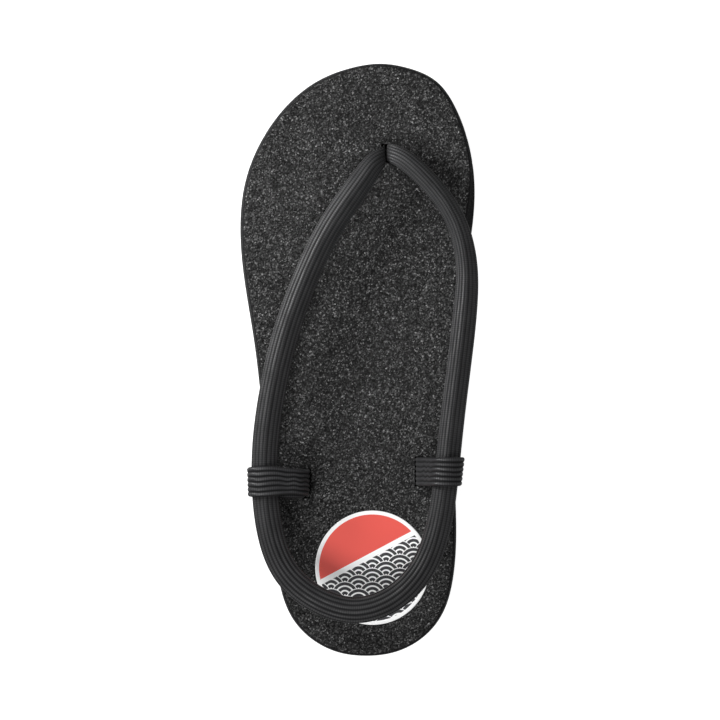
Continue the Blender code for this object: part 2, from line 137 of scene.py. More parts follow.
# The cord, once round from its fold in the toe slit.
PINCH_RISE = (4.0 * MM, 9.2 * MM)
RIDGE = (1.15, 1.7)  # powers of the section's width and height where it runs lengthwise: 2 and 2 is round
RIDGE_LEAN = 0.16  # how far the ridge leans to the little-toe side, as a share of the height
SECTION_FINE = 1441
CORD_STEP = 0.7 * MM
CORD_COARSE = 4.4 * MM  # enough to read the cord's direction at a keeper
RIB_ARCH = 0.8  # power of the sine that a rib's arch follows
RIB_LIMIT = 0.11  # greatest height of a rib, as a share of the cord's thickness
CORD_RIB_STEPS = 6
TAPE_RIB_STEPS = 7
ROUTE = (
    # x, y, rise, side, thick (millimetres)
    (11.3, 90.6, -8.5, 7.1, 1.5),
    (10.2, 90.6, -7.5, 7.1, 1.5),
    (10.2, 90.6, -6.2, 7.1, 1.5),
    (10.25, 90.6, -3.0, 7.1, 1.5),
    (10.3, 90.5, 0.6, 7.1, 1.5),
    (10.35, 90.1, 2.9, 7.2, 1.8),
    (9.7, 89.2, 5.0, 7.8, 2.9),
    (7.3, 87.1, 7.0, 9.0, 5.6),
    (3.4, 82.1, 8.8, 10.3, 7.8),
    (-12.7, 58.4, 10.4, 11.4, 8.2),
    (-24.3, 34.2, 10.9, 11.4, 8.2),
    (-32.7, 10.1, 11.2, 11.6, 8.2),
    (-38.2, -14.0, 11.6, 11.6, 8.2),
    (-41.3, -38.0, 12.1, 11.5, 8.2),
    (-41.5, -53.4, 12.8, 11.5, 8.2),
    (-39.2, -74.1, 15.0, 11.7, 8.2),
    (-31.6, -93.0, 18.0, 11.8, 8.2),
    (-17.2, -104.7, 19.8, 11.8, 8.2),
    (-2.4, -108.6, 20.4, 11.7, 8.2),
    (13.6, -103.9, 20.6, 11.7, 8.2),
    (26.5, -91.4, 20.4, 11.5, 8.2),
    (33.9, -73.0, 19.8, 11.2, 8.2),
    (37.7, -48.8, 19.0, 10.8, 8.2),
    (40.2, -26.0, 17.8, 10.6, 8.2),
    (43.2, -2.0, 16.4, 10.6, 8.2),
    (45.9, 22.0, 14.6, 10.5, 8.2),
    (46.6, 40.2, 12.8, 9.6, 8.2),
    (41.4, 61.6, 11.2, 9.0, 8.1),
    (31.5, 76.2, 10.0, 8.9, 7.8),
    (22.4, 85.2, 8.8, 8.9, 7.0),
    (16.8, 89.1, 7.2, 8.6, 5.6),
    (13.4, 90.6, 5.2, 7.9, 3.2),
    (12.4, 91.0, 2.9, 7.3, 1.8),
    (12.2, 90.7, 0.6, 7.1, 1.5),
    (12.35, 90.6, -3.0, 7.1, 1.5),
    (12.4, 90.6, -6.2, 7.1, 1.5),
    (12.4, 90.6, -7.5, 7.1, 1.5),
)

TAPE_WIDTH = 12.5 * MM
TAPE_THICKNESS = 1.4 * MM
TAPE_SLIT_DEPTH = 9.6 * MM
TAPE_TURN_RISE = 8.0 * MM
TAPE_STEP = 0.45 * MM
TAPE_EDGE = 0.12  # share of half the width over which its edge is rounded
# The ribs' sway is a sine of the run over the first length, pushed to and fro by one over the second.
SWAY_SHORT, SWAY_LONG, SWAY_PUSH = 1.35 * MM, 4 * MM, 1.7
KEEPER_LATERAL = (
    # out, rise, slide, width (millimetres)
    (0.0, -8.6, 0.0, 12.5),
    (-0.9, -7.7, 0.0, 12.5),
    (-0.9, -6.4, 0.0, 12.5),
    (-0.9, 0.0, 0.0, 12.5),
    (-1.0, 5.6, 0.2, 12.2),
    (0.0, 10.9, 0.5, 11.6),
    (3.2, 14.3, 0.8, 11.3),
    (8.0, 15.8, 0.9, 11.6),
    (13.0, 17.3, 0.9, 12.8),
    (18.2, 18.0, 0.6, 13.4),
    (23.0, 16.6, 0.2, 13.2),
    (24.7, 12.8, 0.0, 12.6),
    (23.0, 9.1, -0.1, 12.5),
    (18.0, 7.7, -0.3, 12.5),
    (12.8, 7.4, -0.5, 12.5),
    (7.0, 6.0, -0.5, 12.5),
    (2.6, 3.4, -0.3, 12.5),
    (0.9, 0.0, 0.0, 12.5),
    (0.9, -6.4, 0.0, 12.5),
    (0.9, -7.7, 0.0, 12.5),
)
KEEPER_MEDIAL = (
    # out, rise, slide, width (millimetres)
    (0.0, -8.6, 0.0, 12.5),
    (-0.9, -7.7, 0.0, 12.5),
    (-0.9, -6.4, 0.0, 12.5),
    (-0.9, 0.0, 0.0, 12.5),
    (0.3, 5.6, 0.0, 12.5),
    (3.5, 14.6, 0.0, 12.5),
    (6.0, 21.4, 0.0, 12.5),
    (8.4, 24.3, 0.0, 12.5),
    (11.8, 25.0, 0.0, 12.6),
    (16.4, 23.3, 0.0, 12.6),
    (18.3, 19.2, 0.0, 12.5),
    (16.5, 15.0, 0.0, 12.5),
    (11.2, 10.6, 0.0, 12.5),
    (5.4, 6.8, 0.0, 12.5),
    (1.6, 2.9, 0.0, 12.5),
    (0.9, -0.6, 0.0, 12.5),
    (0.9, -3.2, 0.0, 12.5),
    (0.9, -6.4, 0.0, 12.5),
    (0.9, -7.7, 0.0, 12.5),
)
KEEPERS = (
    # node, x and y of the slit, way out along x, turn in degrees, rows
    ("keeper_lateral", -23.7 * MM, -53.9 * MM, -1, -1.8, KEEPER_LATERAL),
    ("keeper_medial", 25.9 * MM, -48.7 * MM, 1, 0.8, KEEPER_MEDIAL),
)

BADGE_MIDDLE = (5.4 * MM, -90.8 * MM)
BADGE_RADIUS = 25.0 * MM
BADGE_BEND = 0.3 * MM
BADGE_INNER = 0.5 * MM  # radius of the innermost ring, which one flat face closes
BADGE_RINGS, BADGE_BEND_RINGS, BADGE_SIDES = 13, 6, 200
BADGE_CREASE = math.radians(40)
SEAT_DEPTH = 0.7 * MM
SEAT_SIDES = 160

# Real widths and depths of the patterns in the finishes.
FOAM_DRIFT, FOAM_SKIN, FOAM_RELIEF = 14.3 * MM, 0.714 * MM, 0.12 * MM
YARN_DRIFT, YARN_FUZZ, YARN_RELIEF = 8.33 * MM, 0.556 * MM, 0.16 * MM
FILM_WAVER, FILM_RELIEF = 1.11 * MM, 0.05 * MM
FLOOR_DRIFT = 167 * MM
TOP_FACING = (0.80, 0.93)  # upward part of the normal, from the plain wall to the full grain of the top
STITCH_ARCH = 0.35  # power of the sine that a stitch's arch follows
# Between these two places in Y the cord bends round the heel, and the power of its ribs' arch grows.
HEEL_BEND = (-66.0 * MM, -92.0 * MM)
HEEL_OPENS = 0.9

FLOOR_REACH = 6.0
SENSOR = 36.0  # millimetres
FARTHEST = 50.0


# ---- shapes


def smooth(value):
    """Smooth step from 0 at 0 to 1 at 1."""
    value = np.clip(value, 0.0, 1.0)
    return value * value * (3 - 2 * value)


def bell(value):
    """1 at 0, falling smoothly to 0 at 1 and beyond on both sides."""
    return 1 - smooth(np.abs(value))


def closed_spline(points, axes, share_out):
    """Periodic cubic spline through the points: the second differences at the rows solve one cyclic system,
    and each chord is a straight line plus two cubic sags. The first `axes` columns set the chord lengths,
    and share_out takes the chords and gives how many steps each has."""
    points = np.asarray(points, float)
    count = len(points)
    ahead = np.roll(points, -1, axis=0)
    chords = np.linalg.norm((ahead - points)[:, :axes], axis=1)
    before = np.roll(chords, 1)
    slopes = (ahead - points) / chords[:, None]
    rows = np.arange(count)
    system = np.zeros((count, count))
    system[rows, rows] = 2 * (before + chords)
    system[rows, (rows + 1) % count] = chords
    system[rows, rows - 1] = before
    bends = np.linalg.solve(system, 6 * (slopes - np.roll(slopes, 1, axis=0)))
    steps = share_out(chords)
    row = np.repeat(rows, steps)
    first = np.repeat(np.cumsum(steps) - steps, steps)
    ramp = ((np.arange(len(row)) - first) / steps[row])[:, None]
    chord = chords[row][:, None]
    start, end = points[row], ahead[row]
    bend_start, bend_end = bends[row], np.roll(bends, -1, axis=0)[row]
    sag = (1 - ramp) ** 3 - (1 - ramp)
    sag_end = ramp**3 - ramp
    straight = start * (1 - ramp) + end * ramp
    return straight + chord**2 / 6 * (sag * bend_start + sag_end * bend_end)


def by_length(step):
    """At least two steps a chord, and enough to keep each near the given length."""
    return lambda chords: np.maximum(2, np.ceil(chords / step)).astype(int)


def run_along(stations):
    """Unit direction of travel at each station of a closed ring."""
    along = np.roll(stations[:, :3], -1, axis=0) - np.roll(stations[:, :3], 1, axis=0)
    return along / np.linalg.norm(along, axis=1)[:, None]


def arc_length(stations):
    """Distance run from the first station to each station."""
    gaps = np.linalg.norm(np.diff(stations[:, :3], axis=0), axis=1)
    return np.concatenate([[0.0], np.cumsum(gaps)])


def profile(y, column):
    """A column of PROFILE at y: cubic between its rows, and level between equal ones."""
    rows = np.array(PROFILE) * (1.0, MM, MM)
    station = np.asarray(y, float) / LENGTH + 0.5
    slopes = np.gradient(rows[:, column], rows[:, 0])
    flat = np.diff(rows[:, column]) == 0
    slopes[:-1][flat] = 0
    slopes[1:][flat] = 0
    row = np.clip(np.searchsorted(rows[:, 0], station, side="right") - 1, 0, len(rows) - 2)
    gap = rows[row + 1, 0] - rows[row, 0]
    ramp = np.clip((station - rows[row, 0]) / gap, 0, 1)
    rest = 1 - ramp
    here = rows[row, column] * (1 + 2 * ramp) * rest**2
    there = rows[row + 1, column] * (3 - 2 * ramp) * ramp**2
    return here + there + gap * (slopes[row] * ramp * rest**2 - slopes[row + 1] * rest * ramp**2)


def underside(y):
    """Underside of the foam."""
    return profile(y, 1)


def footbed(y):
    """Top of the foam on the middle line."""
    return profile(y, 2)


def footbed_over(x, y, out):
    """Top of the foam anywhere: the middle line's height, a rise to the arch and a cup round the heel."""
    station = np.asarray(y) / LENGTH + 0.5
    arch = bell((station - ARCH_STATION) / ARCH_REACH) * smooth(x / ARCH_SPAN)
    fade = 1 - smooth((station - CUP_FADE[0]) / (CUP_FADE[1] - CUP_FADE[0]))
    cup = smooth((out - CUP_FROM) / (1 - CUP_FROM)) * fade
    return footbed(y) + ARCH_RISE * arch + CUP_RISE * cup


def outline(count):
    """The sole from above: a closed spline through both sides' rows, read at even arc steps."""
    rows = np.array(OUTLINE)
    along = (rows[:, 0] - 0.5) * LENGTH
    big_toe = np.column_stack([rows[:, 2] * BALL_WIDTH, along])
    little_toe = np.column_stack([-rows[:, 1] * BALL_WIDTH, along])
    heel = (HEEL_TIP * BALL_WIDTH, -LENGTH / 2)
    toe = (TOE_TIP * BALL_WIDTH, LENGTH / 2)
    points = [heel, *big_toe, toe, *little_toe[::-1]]
    curve = closed_spline(points, 2, lambda chords: np.full(len(chords), OUTLINE_FINE))
    closed = np.vstack([curve, curve[:1]])
    run = np.concatenate([[0], np.cumsum(np.linalg.norm(np.diff(closed, axis=0), axis=1))])
    at = np.linspace(0, run[-1], count, endpoint=False)
    return np.column_stack([np.interp(at, run, closed[:, axis]) for axis in (0, 1)])


def sole_grid():
    """Rings of points from the middle of the footbed out over the rounded edge, down the drafted wall and in
    under the sole: each ring is the outline moved in along its normals, or drawn in towards a middle line."""
    edge = outline(OUTLINE_POINTS)
    along = np.roll(edge, -1, axis=0) - np.roll(edge, 1, axis=0)
    along /= np.linalg.norm(along, axis=1)[:, None]
    normals = np.column_stack([-along[:, 1], along[:, 0]])
    station = edge[:, 1] / LENGTH + 0.5
    flare = FLARE * bell((station - FLARE_STATION) / FLARE_REACH) * smooth(edge[:, 0] / FLARE_SPAN)
    spine = np.column_stack([
        np.full(len(edge), SPINE_X),
        (SPINE[0] + (SPINE[1] - SPINE[0]) * station - 0.5) * LENGTH,
    ])

    def moved_in(share, own):
        """The outline at a share of the wall's height, drawn in by its draft, its flare and own."""
        return edge + normals * (TOP_INSET * smooth(share) + flare * smooth(share) + own)[:, None]

    rings = []
    top = moved_in(1.0, EDGE_ROUND)
    for out in np.linspace(INNERMOST, 1.0, TOP_RINGS)[:-1]:
        flat = spine + (top - spine) * out
        rings.append(np.column_stack([flat, footbed_over(flat[:, 0], flat[:, 1], out)]))
    for turn in np.linspace(0, math.pi / 2, EDGE_RINGS):
        flat = moved_in(1.0, EDGE_ROUND * (1 - math.sin(turn)))
        high = footbed_over(flat[:, 0], flat[:, 1], 1.0) - EDGE_ROUND * (1 - math.cos(turn))
        rings.append(np.column_stack([flat, high]))
    for share in np.linspace(*WALL_SPAN, WALL_RINGS):
        flat = moved_in(share, 0.0)
        low = underside(flat[:, 1])
        high = footbed_over(flat[:, 0], flat[:, 1], 1.0)
        rings.append(np.column_stack([flat, low + (high - low) * share]))
    for turn in np.linspace(0, math.pi / 2, FOOT_RINGS):
        flat = moved_in(0.0, FOOT_ROUND * (1 - math.cos(turn)))
        low = underside(flat[:, 1]) + FOOT_ROUND * (1 - math.sin(turn))
        rings.append(np.column_stack([flat, low]))
    bottom = moved_in(0.0, FOOT_ROUND)
    for out in np.linspace(1.0, INNERMOST, UNDER_RINGS)[1:]:
        flat = spine + (bottom - spine) * out
        rings.append(np.column_stack([flat, underside(flat[:, 1])]))
    return np.array(rings)


def band_faces(rows, sides, close_rows):
    """Quads of a grid that closes round its sides, and round its rows too if it is a ring."""
    row = np.arange(rows if close_rows else rows - 1)[:, None]
    side = np.arange(sides)[None, :]
    after, beside = (row + 1) % rows, (side + 1) % sides
    corners = [row * sides + side, row * sides + beside, after * sides + beside, after * sides + side]
    return np.stack(np.broadcast_arrays(*corners), axis=-1).reshape(-1, 4)


def ladder(first, count):
    """Faces that close a ring of points across its middle: rungs join the points that face each other."""
    rung = np.arange(1, count // 2 - 1)
    quads = np.stack([rung, rung + 1, count - rung - 1, count - rung], axis=-1) + first
    half = count // 2
    ends = np.array([[0, 1, count - 1], [half - 1, half, half + 1]]) + first
    return quads.tolist() + ends.tolist()


def mesh_object(name, points, faces):
    """A smooth mesh, turned outwards by the sign of the volume that its faces enclose."""
    mesh = bpy.data.meshes.new(name)
    mesh.from_pydata(points.tolist(), [], faces)
    mesh.validate()
    mesh.calc_loop_triangles()
    corners = np.empty(len(mesh.loop_triangles) * 3, np.int32)
    mesh.loop_triangles.foreach_get("vertices", corners)
    a, b, c = points[corners.reshape(-1, 3)].transpose(1, 0, 2)
    if np.einsum("ij,ij->i", a, np.cross(b, c)).sum() < 0:
        mesh.flip_normals()
    mesh.shade_smooth()
    obj = bpy.data.objects.new(name, mesh)
    bpy.context.scene.collection.objects.link(obj)
    return obj


def box_points(size, middle, turn):
    """The eight corners of a box turned about Z, and its six faces."""
    corners = np.array([(x, y, z) for x in (-0.5, 0.5) for y in (-0.5, 0.5) for z in (-0.5, 0.5)]) * size
    c, s = math.cos(turn), math.sin(turn)
    turned = corners @ np.array([[c, s, 0], [-s, c, 0], [0, 0, 1]])
    faces = [[0, 1, 3, 2], [4, 6, 7, 5], [0, 4, 5, 1], [2, 3, 7, 6], [0, 2, 6, 4], [1, 5, 7, 3]]
    return turned + middle, faces


def sunk_box(name, middle, size, depth, turn):
    """A box that reaches from a depth under the footbed to well over it."""
    level = float(footbed(middle[1]))
    height = depth + SLIT_OVER
    place = (middle[0], middle[1], level + (SLIT_OVER - depth) / 2)
    return mesh_object(name, *box_points((size[0], size[1], height), place, turn))


def tread_cutter():
    """Cross grooves under the heel and the ball, as one mesh of boxes that follow the underside."""
    points, faces = [], []
    for first, count in GROOVE_RUNS:
        for groove in range(count):
            y = (first + GROOVE_PITCH * groove - 0.5) * LENGTH
            top = float(underside(y)) + GROOVE_DEPTH
            height = top + GROOVE_UNDER
            box, sides = box_points((GROOVE_LENGTH, GROOVE_WIDTH, height), (0, y, top - height / 2), 0)
            faces += [[corner + 8 * len(points) for corner in side] for side in sides]
            points.append(box)
    return mesh_object("tread", np.concatenate(points), faces)


def disc_cutter(radius, middle, low, high):
    """An upright cylinder: two rings of even turns and their caps."""
    sides = SEAT_SIDES
    turns = np.arange(sides) * 2 * math.pi / sides
    ring = np.column_stack([middle[0] + radius * np.cos(turns), middle[1] + radius * np.sin(turns)])
    points = np.vstack([np.column_stack([ring, np.full(sides, level)]) for level in (low, high)])
    faces = band_faces(2, sides, False).tolist() + [list(range(sides)), list(range(sides, 2 * sides))[::-1]]
    return mesh_object("badge_seat", points, faces)


def carve(obj, cutters):
    """Cuts the cutters out of the object for good and removes them."""
    for cutter in cutters:
        boolean = obj.modifiers.new(cutter.name, "BOOLEAN")
        boolean.operation = "DIFFERENCE"
        boolean.object = cutter
    whole = bpy.data.meshes.new_from_object(obj.evaluated_get(bpy.context.evaluated_depsgraph_get()))
    obj.modifiers.clear()
    obj.data = whole
    for cutter in cutters:
        bpy.data.objects.remove(cutter)


def ring_points(stations, wide, section):
    """The section laid across each station: side and up are square to the run, scaled by the section."""
    along = run_along(stations)
    side = wide - along * np.sum(wide * along, axis=1)[:, None]
    side /= np.linalg.norm(side, axis=1)[:, None]
    thick = np.cross(along, side)
    across = side[:, None] * section[:, :, :1]
    upright = thick[:, None] * section[:, :, 1:]
    return stations[:, None, :3] + across + upright


def ring_object(name, points, ribs, run, row_pitch):
    """A closed ring of sections with a map whose first axis counts ribs and whose second counts rows."""
    count, sides = points.shape[:2]
    obj = mesh_object(name, points.reshape(-1, 3), band_faces(count, sides, True).tolist())
    mesh = obj.data
    corners = np.empty(len(mesh.loops), np.int32)
    mesh.loops.foreach_get("vertex_index", corners)
    station, side = corners.reshape(-1, 4) // sides, corners.reshape(-1, 4) % sides
    wrapped = station.max(axis=1) - station.min(axis=1) > 1
    station = np.where((station == 0) & wrapped[:, None], count, station)
    around = side.max(axis=1) - side.min(axis=1) > 1
    side = np.where((side == 0) & around[:, None], sides, side)
    rows_round = round(run[-1] / row_pitch)
    rows = run[station] / run[-1] * rows_round
    uv = mesh.uv_layers.new(name="weave")
    uv.data.foreach_set("uv", np.stack([side * ribs / sides, rows], axis=-1).ravel())
    return obj


def strap_stations(step):
    """The cord's stations: x, y, z, side and thick, then the rise they were set by."""
    rows = np.array(ROUTE) * MM
    rise = rows[:, 2].copy()
    rows[:, 2] += footbed(rows[:, 1])
    return closed_spline(np.column_stack([rows, rise]), 3, by_length(step))


def strap_wide(stations):
    """The way across the cord: along the slit where it is pinched, level elsewhere."""
    along = run_along(stations)
    level = np.column_stack([-along[:, 1], along[:, 0], np.zeros(len(along))])
    level /= np.linalg.norm(level, axis=1)[:, None] + 1e-9
    low, high = PINCH_RISE
    pinch = smooth((high - stations[:, 5]) / (high - low))[:, None]
    return (1 - pinch) * level + pinch * np.array([*SLIT_ALONG, 0.0])


def cord_section(stations, along, sides):
    """The cord's section at each station, as shares of its side and thickness: even arc steps round the
    curve |x|^p + |y|^q = 1, blended from round where the cord crosses the heel to ridged where it runs
    lengthwise."""
    turns = np.linspace(0, 2 * math.pi, SECTION_FINE)
    round_way = np.column_stack([np.cos(turns), np.sin(turns)])
    ridged = np.sign(round_way) * np.abs(round_way) ** (2 / np.array(RIDGE))
    run = np.concatenate([[0], np.cumsum(np.linalg.norm(np.diff(ridged, axis=0), axis=1))])
    at = np.arange(sides) / sides
    ridged = np.column_stack([np.interp(at * run[-1], run, ridged[:, axis]) for axis in (0, 1)])
    round_way = np.column_stack([np.cos(2 * math.pi * at), np.sin(2 * math.pi * at)])
    share = along[:, 1, None, None] ** 2 * smooth(stations[:, 5] / PINCH_RISE[1])[:, None, None]
    section = 0.5 * (round_way + (ridged - round_way) * share)
    section[:, :, 0] += RIDGE_LEAN * along[:, 1:2] * share[:, :, 0] * section[:, :, 1]
    return section


# ---- materials


def linear(code):
    """A linear colour from an sRGB hex code."""
    channels = np.array([int(code[i:i + 2], 16) for i in (1, 3, 5)]) / 255
    return tuple(np.where(channels <= 0.04045, channels / 12.92, ((channels + 0.055) / 1.055) ** 2.4))


def add_node(tree, kind, *values, links=None, **settings):
    """Adds a shader node. Settings are its own properties. Values fill its open sockets in order, and links
    fill sockets by name: each is a number, a colour, an output, or a node for its first open output."""
    node = tree.nodes.new("ShaderNode" + kind)
    for name, value in settings.items():
        setattr(node, name, value)
    filled = list(zip([socket for socket in node.inputs if socket.enabled], values))
    filled += [(node.inputs[name], value) for name, value in (links or {}).items()]
    for socket, value in filled:
        if isinstance(value, bpy.types.Node):
            value = next(output for output in value.outputs if output.enabled)
        if isinstance(value, bpy.types.NodeSocket):
            tree.links.new(value, socket)
        else:
            socket.default_value = value
    return node


def new_material(name):
    """A material with an empty node tree, and the function that adds a node to it."""
    made = bpy.data.materials.new(name)
    made.use_nodes = True
    made.node_tree.nodes.clear()
    return made, functools.partial(add_node, made.node_tree)


def foam_material(settings):
    """Compression-moulded EVA foam with a crushed grain pressed into its top: black grains, each of its own
    grey, with a few that glint. Its cut wall is the same foam, smooth and plain."""
    made, add = new_material("eva_foam_crushed_grain")
    place = add("TexCoord").outputs["Object"]
    normal = add("NewGeometry").outputs["True Normal"]
    facing = add("SeparateXYZ", normal).outputs["Z"]
    top = add("MapRange", facing, *TOP_FACING, interpolation_type="SMOOTHSTEP")
    grain = add("TexVoronoi", place, 1 / settings.grain)
    shade = add("SeparateColor", grain.outputs["Color"]).outputs
    # The sum of three even draws is near normal, and its exponent is the long-tailed spread of the greys.
    draws = add("Math", shade[1], shade[2], operation="ADD")
    draws = add("Math", shade[0], draws, operation="ADD")
    spread = add("Math", draws, 2 * settings.contrast, -3 * settings.contrast, operation="MULTIPLY_ADD")
    # A slow drift moves the greys by up to a quarter each way.
    drift = add("TexNoise", place, 1 / FOAM_DRIFT, 3.0)
    drift = add("Math", drift, 0.5, -0.25, operation="MULTIPLY_ADD")
    spread = add("Math", spread, drift, operation="ADD")
    grey = add("Math", spread, operation="EXPONENT")
    grains = add("VectorMath", settings.foam, grey, operation="SCALE")
    colour = add("Mix", top, (*settings.wall, 1.0), grains, data_type="RGBA")
    relief = add("Math", shade[2], grain.outputs["Distance"], operation="SUBTRACT")
    relief = add("Math", relief, top, operation="MULTIPLY")
    skin = add("TexNoise", place, 1 / FOAM_SKIN, 2.0)
    relief = add("Math", skin, 0.15, relief, operation="MULTIPLY_ADD")
    bump = add("Bump", links={"Strength": 0.6, "Distance": FOAM_RELIEF, "Height": relief})
    # From a middling grain to one four times as bright, the roughness falls from 0.75 to 0.4.
    glint = add("MapRange", grey, 1.0, 4.0, 0.75, 0.4)
    shader = add("BsdfPrincipled", links={
        "Base Color": colour, "Roughness": glint, "Normal": bump, "IOR": 1.48, "Specular IOR Level": 0.10})
    add("OutputMaterial", shader)
    return made


def woven_material(name, settings):
    """Polyester and rubber webbing: rows of small stitches on raised ribs, with shade painted dark into the
    furrows between the ribs and between the rows, and the soft sheen of filament yarn. Each rib has its own
    slow run of paler and darker yarn, and the furrows open where the piece bends round the heel."""
    made, add = new_material(name)
    weave = add("UVMap", uv_map="weave")
    place = add("TexCoord").outputs["Object"]
    # The map counts ribs across and rows along, and each rib and each row is the arch of a sine.
    arches = []
    for count in add("SeparateXYZ", weave).outputs[:2]:
        turn = add("Math", count, math.pi, operation="MULTIPLY")
        wave = add("Math", turn, operation="SINE")
        arches.append(add("Math", wave, operation="ABSOLUTE"))
    rear = add("SeparateXYZ", place).outputs["Y"]
    opened = add("MapRange", rear, *HEEL_BEND, settings.furrow, settings.furrow + HEEL_OPENS)
    crest = add("Math", arches[0], opened, operation="POWER")
    stitch = add("Math", arches[1], STITCH_ARCH, operation="POWER")
    pillow = add("Math", stitch, crest, operation="MULTIPLY")
    fuzz = add("TexNoise", place, 1 / YARN_FUZZ, 3.0)
    drift = add("TexNoise", place, 1 / YARN_DRIFT, 2.0)
    # One shade of yarn keeps to about one rib and lasts for a dozen rows.
    strands = add("Mapping", weave, (0.0, 3.0, 0.0), (0.0, 0.0, 0.0), (1.0, 0.07, 1.0))
    yarn = add("TexNoise", strands, 1.1, 2.0)
    yarn = add("MapRange", yarn, 0.3, 0.7, 0.5, 1.15)
    yarn = add("Math", drift, 0.4, yarn, operation="MULTIPLY_ADD")
    lit = add("Math", pillow, yarn, operation="MULTIPLY")
    lit = add("Math", fuzz, 0.1, lit, operation="MULTIPLY_ADD")
    # Painted shade: the colour falls from the thread's to the dark furrow colour towards the furrows between
    # the ribs and between the rows.
    colour = add("Mix", lit, (*settings.shadow, 1.0), (*settings.thread, 1.0), data_type="RGBA")
    relief = add("Math", crest, 0.6, operation="MULTIPLY")
    relief = add("Math", pillow, 0.4, relief, operation="MULTIPLY_ADD")
    relief = add("Math", fuzz, 0.2, relief, operation="MULTIPLY_ADD")
    bump = add("Bump", links={"Strength": 0.9, "Distance": YARN_RELIEF, "Height": relief})
    # The furrows are loose, rough yarn, and the crests are pulled smooth. The specular level also falls in
    # the furrows, which paints shade on the yarn's sheen.
    gloss = add("Math", lit, 0.75 * settings.gloss, 0.25 * settings.gloss, operation="MULTIPLY_ADD")
    rough = add("MapRange", lit, 0.0, 1.0, 0.85, settings.roughness)
    shader = add("BsdfPrincipled", links={
        "Base Color": colour, "Normal": bump, "Specular IOR Level": gloss, "Roughness": rough, "IOR": 1.55,
        "Sheen Weight": 0.06, "Sheen Roughness": 0.4})
    add("OutputMaterial", shader)
    return made


def badge_material(settings):
    """Screen-printed vinyl film under a clear gloss coat: white rim, a red part and a charcoal part with
    white overlapping waves, parted by a slanting white bar."""
    made, add = new_material("printed_vinyl_film")
    place = add("TexCoord").outputs["Object"]
    to_middle = (-BADGE_MIDDLE[0], -BADGE_MIDDLE[1], 0.0)
    level = add("Mapping", place, to_middle, (0.0, 0.0, 0.0), (1.0, 1.0, 0.0))
    out = add("VectorMath", level, operation="LENGTH")
    x, y = add("SeparateXYZ", level).outputs[:2]
    over = add("Math", y, math.cos(settings.slant), -settings.bar_offset, operation="MULTIPLY_ADD")
    over = add("Math", x, -math.sin(settings.slant), over, operation="MULTIPLY_ADD")
    radius = settings.wave
    pitch = radius / 2
    waves = 0.0
    for nearer in (-1.0, 0.0, 1.0, 2.0):
        # Rows lie half a radius apart, every other one a radius to the side, and nearer rows cover the rest.
        row = add("Math", y, pitch, operation="DIVIDE")
        row = add("Math", row, operation="FLOOR")
        row = add("Math", row, nearer, operation="SUBTRACT")
        shift = add("Math", row, 2.0, operation="FLOORED_MODULO")
        across = add("Math", shift, -radius, x, operation="MULTIPLY_ADD")
        across = add("Math", across, radius, -radius, operation="WRAP")
        up = add("Math", row, -pitch, y, operation="MULTIPLY_ADD")
        away = add("VectorMath", add("CombineXYZ", across, up), operation="LENGTH")
        # Each wave has three lines, a third of the radius apart.
        ring = add("Math", radius, away, operation="SUBTRACT")
        ring = add("Math", ring, radius / 6, operation="PINGPONG")
        ink = add("Math", ring, settings.wave_line / 2, operation="LESS_THAN")
        inside = add("Math", away, radius, operation="LESS_THAN")
        waves = add("Mix", inside, waves, ink)
    white = (*settings.white, 1.0)
    dark = add("Mix", waves, (*settings.charcoal, 1.0), white, data_type="RGBA")
    red_side = add("Math", over, 0.0, operation="GREATER_THAN")
    field = add("Mix", red_side, dark, (*settings.red, 1.0), data_type="RGBA")
    bar = add("Math", over, operation="ABSOLUTE")
    bar = add("Math", bar, settings.bar / 2, operation="LESS_THAN")
    field = add("Mix", bar, field, white, data_type="RGBA")
    rim = add("Math", out, BADGE_RADIUS - settings.rim, operation="GREATER_THAN")
    colour = add("Mix", rim, field, white, data_type="RGBA")
    waver = add("TexNoise", place, 1 / FILM_WAVER, 1.0)
    bump = add("Bump", links={"Strength": 0.12, "Distance": FILM_RELIEF, "Height": waver})
    shader = add("BsdfPrincipled", links={
        "Base Color": colour, "Normal": bump, "Roughness": 0.32, "IOR": 1.5, "Coat Weight": 0.5,
        "Coat Roughness": 0.12})
    add("OutputMaterial", shader)
    return made


def floor_material(settings):
    """Matt white laminate of a photographer's sweep: even and pale, with a trace of drift."""
    made, add = new_material("matt_white_laminate")
    place = add("TexCoord").outputs["Object"]
    drift = add("TexNoise", place, 1 / FLOOR_DRIFT)
    darker = tuple(0.97 * part for part in settings.floor)
    colour = add("Mix", drift, (*settings.floor, 1.0), (*darker, 1.0), data_type="RGBA")
    seen = add("LightPath").outputs["Is Camera Ray"]
    glow = add("Math", seen, settings.glow, operation="MULTIPLY")
    shader = add("BsdfPrincipled", links={
        "Base Color": colour, "Roughness": 0.8, "Emission Color": (*linear("#ffffff"), 1.0),
        "Emission Strength": glow})
    add("OutputMaterial", shader)
    return made


# ---- settings


class SandalSoleSettings(bpy.types.PropertyGroup):
    """Colours and grain of the foam"""

    foam: bpy.props.FloatVectorProperty(
        name="Foam", description="Colour of a middling grain", subtype="COLOR", size=3,
        min=0, max=1, default=linear("#262626"))
    contrast: bpy.props.FloatProperty(
        name="Contrast", description="Spread of the grains' greys", min=0, max=2, default=1.0)
    wall: bpy.props.FloatVectorProperty(
        name="Wall", description="Colour of the plain side wall", subtype="COLOR", size=3,
        min=0, max=1, default=linear("#161617"))
    grain: bpy.props.FloatProperty(
        name="Grain", description="Size of a grain", unit="LENGTH", min=0.2 * MM, default=0.52 * MM)


